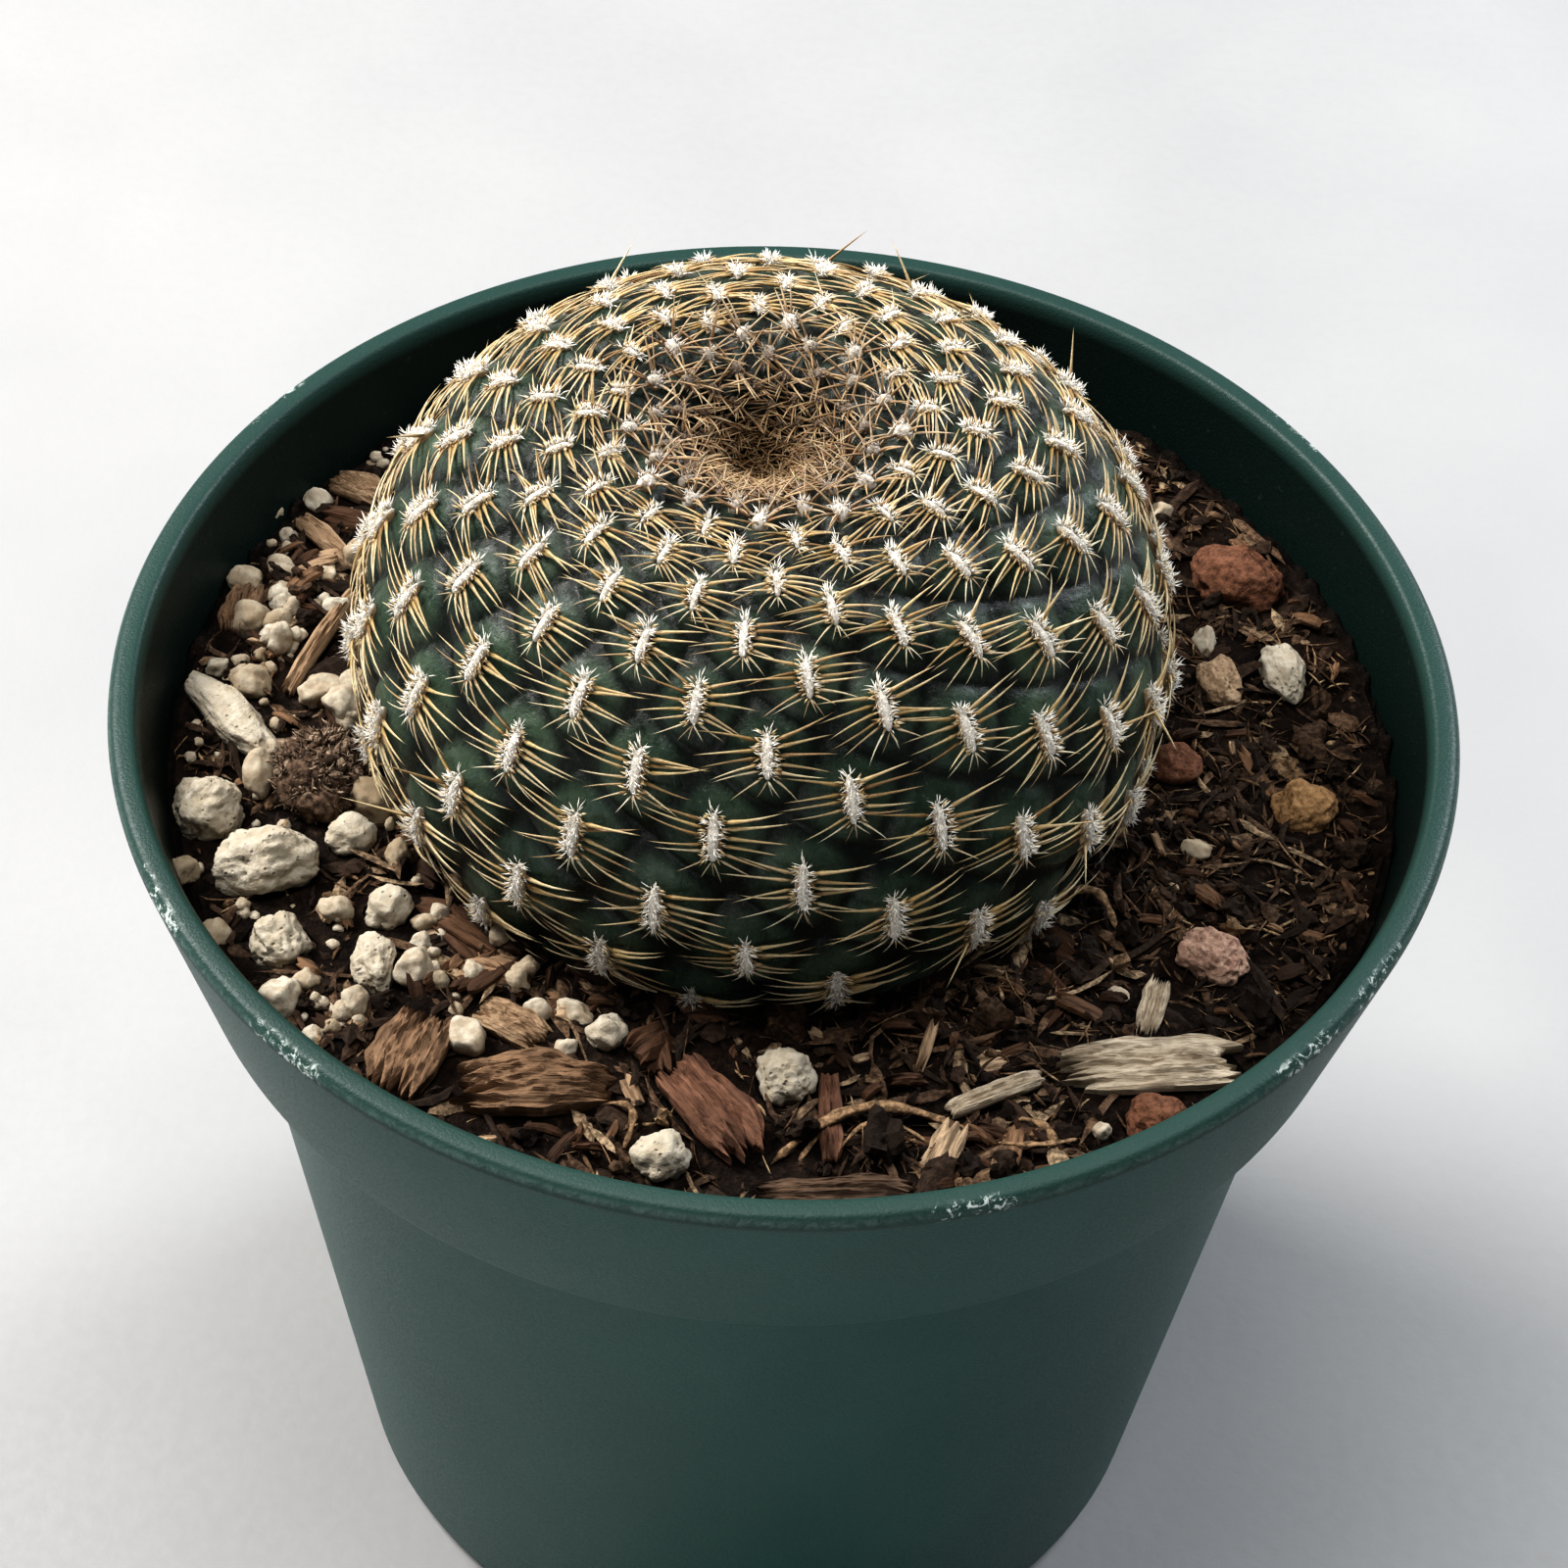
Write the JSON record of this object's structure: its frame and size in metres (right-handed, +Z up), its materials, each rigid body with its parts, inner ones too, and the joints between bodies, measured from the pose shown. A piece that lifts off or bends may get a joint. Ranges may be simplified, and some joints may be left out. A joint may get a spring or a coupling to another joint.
{
  "type": "potted globe cactus",
  "caption": "Squat globe cactus with a sunken crown and comb-like straw-coloured spines, rooted in gritty peat in a round tapered plastic nursery pot.",
  "frame": {"origin": "centre of the pot's underside, on the surface that the pot stands on", "axes": "+Z up along the pot's axis; -Y towards the viewer of the picture, so the plant's near side faces -Y"},
  "size_m": [0.106, 0.106, 0.1164],
  "materials": {
    "pot_green": "satin dark green moulded plastic, scuffed pale along the lip",
    "potting_mix": "damp fibrous peat with grit",
    "cactus_flesh": "waxy dark green skin",
    "areole_felt": "matted white wool of the areoles",
    "spine_straw": "satin straw-coloured spines",
    "perlite_white": "dusty porous white",
    "clay_brown": "rough unglazed red-brown",
    "bark_brown": "rough split bark",
    "peat_dark": "dark matted fibre"
  },
  "bodies": {
    "root": {"pot": "pot_green", "potting_mix": "potting_mix", "cactus": "cactus_flesh", "perlite_1": "perlite_white", "perlite_2": "perlite_white", "perlite_3": "perlite_white", "perlite_4": "perlite_white", "perlite_5": "perlite_white", "perlite_6": "perlite_white", "perlite_7": "perlite_white", "perlite_8": "perlite_white", "perlite_9": "perlite_white", "perlite_10": "perlite_white", "perlite_11": "perlite_white", "clay_1": "clay_brown", "clay_2": "clay_brown", "clay_3": "clay_brown", "clay_4": "clay_brown", "clay_5": "clay_brown", "clay_6": "clay_brown", "bark_1": "bark_brown", "bark_2": "bark_brown", "bark_3": "bark_brown", "bark_4": "bark_brown", "bark_5": "bark_brown", "bark_6": "bark_brown", "bark_7": "bark_brown", "bark_8": "bark_brown", "bark_9": "bark_brown", "stick_1": "bark_brown", "stick_2": "bark_brown", "stick_3": "bark_brown", "stick_4": "bark_brown", "peat_clump": "peat_dark"}
  },
  "joints": []
}
